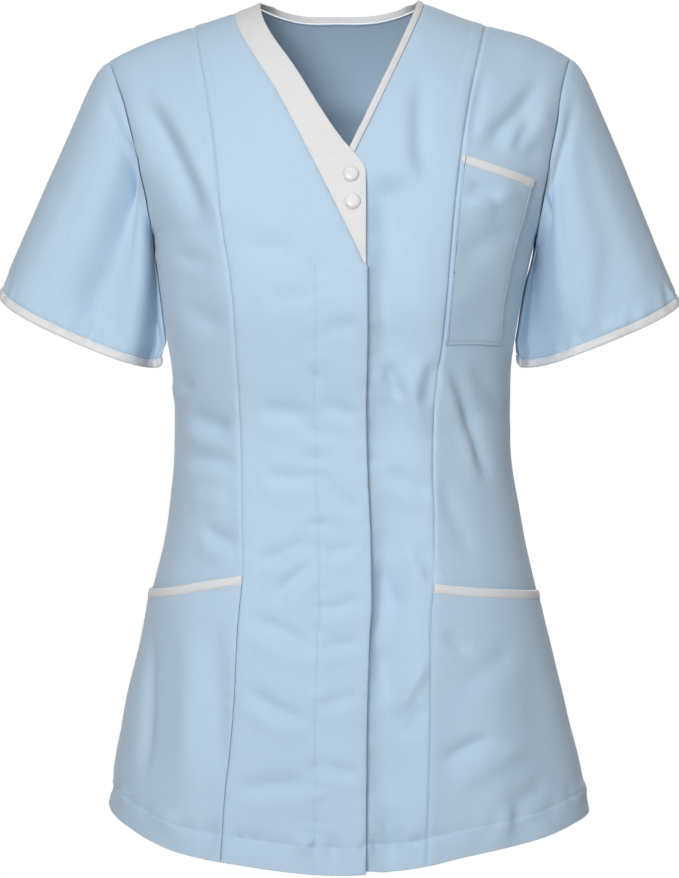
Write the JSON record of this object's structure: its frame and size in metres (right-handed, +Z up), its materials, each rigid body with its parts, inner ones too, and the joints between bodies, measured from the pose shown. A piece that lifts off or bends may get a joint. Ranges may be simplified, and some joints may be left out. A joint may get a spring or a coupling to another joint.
{
  "type": "short-sleeved scrub top",
  "caption": "Fitted front-fastening scrub top in its hollow worn form, with an asymmetric V neck, princess seams, short set-in sleeves, patch pockets and contrast bindings.",
  "frame": {"origin": "between the neck ends of the two shoulder seams, where the wearer's shoulders carry the top", "axes": "+Z up, the front faces -Y, +X towards the wearer's left"},
  "size_m": [0.5776, 0.2664, 0.7266],
  "materials": {
    "pale_blue_cloth": "plain-woven polyester and cotton, pale blue, soft matt",
    "white_cloth": "plain-woven polyester and cotton, white, soft matt",
    "white_stud_cap": "moulded white cap with a soft sheen"
  },
  "bodies": {
    "root": {"right_front_centre": "pale_blue_cloth", "right_front_side": "pale_blue_cloth", "left_front_centre": "pale_blue_cloth", "left_front_side": "pale_blue_cloth", "back": "pale_blue_cloth", "sleeve_right": "pale_blue_cloth", "sleeve_left": "pale_blue_cloth", "sleeve_binding_right": "white_cloth", "sleeve_binding_left": "white_cloth", "neck_band": "white_cloth", "neck_binding": "white_cloth", "breast_pocket": "pale_blue_cloth", "breast_pocket_binding": "white_cloth", "hip_pocket_right": "pale_blue_cloth", "hip_pocket_left": "pale_blue_cloth", "hip_pocket_binding_right": "white_cloth", "hip_pocket_binding_left": "white_cloth", "stud_cap_upper": "white_stud_cap", "stud_cap_lower": "white_stud_cap"}
  },
  "joints": []
}
